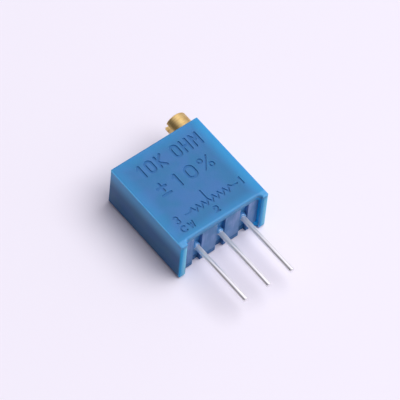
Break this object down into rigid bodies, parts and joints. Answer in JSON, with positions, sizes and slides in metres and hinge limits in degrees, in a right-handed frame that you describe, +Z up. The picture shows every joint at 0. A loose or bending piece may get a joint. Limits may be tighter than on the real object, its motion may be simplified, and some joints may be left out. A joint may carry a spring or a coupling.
{
  "type": "trimmer potentiometer",
  "caption": "Rectangular multi-turn trimmer potentiometer with a worm-driven wiper, top adjusting screw and in-line pins",
  "frame": {"origin": "on the axis of the middle pin, in the plane of the leg tips that seat on a circuit board", "axes": "+X along the row of pins towards the screw side, +Y from the leg tips to the adjusting screw, +Z up through the marked broad face; the part lies on its back, and turns by 90 degrees about X to stand on a board"},
  "size_m": [0.0096, 0.0176, 0.0048],
  "materials": {
    "housing_plastic": "satin moulded blue",
    "base_plastic": "dull moulded grey-blue",
    "resin": "smooth cured resin",
    "tinned_wire": "bright tinned",
    "solder": "bright solder",
    "ceramic": "fired white ceramic",
    "resistive_film": "fired dark film",
    "conductive_film": "fired metal film",
    "wheel_plastic": "moulded natural plastic",
    "spring_metal": "rolled spring sheet",
    "screw_brass": "turned brass",
    "ring_rubber": "moulded rubber",
    "clip_steel": "stamped steel"
  },
  "bodies": {
    "case": {"housing": "housing_plastic", "base_plug": "base_plastic", "pin_seal_1": "resin", "pin_seal_2": "resin", "pin_seal_3": "resin", "terminal_pin_1": "tinned_wire", "terminal_pin_2": "tinned_wire", "terminal_pin_3": "tinned_wire", "solder_joint_1": "solder", "solder_joint_2": "solder", "solder_joint_3": "solder", "ceramic_substrate": "ceramic", "resistive_track": "resistive_film", "collector_ring": "conductive_film", "end_pad_cw": "conductive_film", "end_pad_ccw": "conductive_film", "screw_retainer": "clip_steel"},
    "screw": {"adjusting_screw": "screw_brass", "o_ring": "ring_rubber"},
    "rotor": {"worm_wheel": "wheel_plastic", "wiper_contact": "spring_metal"}
  },
  "joints": [
    {"name": "adjust", "type": "hinge", "parent": "case", "child": "screw", "pos_m": [0.00349, 0.0105, 0.00114], "axis": [0, -1, 0], "range_deg": [-4590, 4590]},
    {"name": "wheel_turn", "type": "hinge", "parent": "case", "child": "rotor", "pos_m": [-0.00052, 0.00575, 0.001], "axis": [0, 0, 1], "range_deg": [-143.5, 143.5]}
  ],
  "couplings": [
    {"joint": "wheel_turn", "follows": "adjust", "ratio": 0.03125}
  ]
}
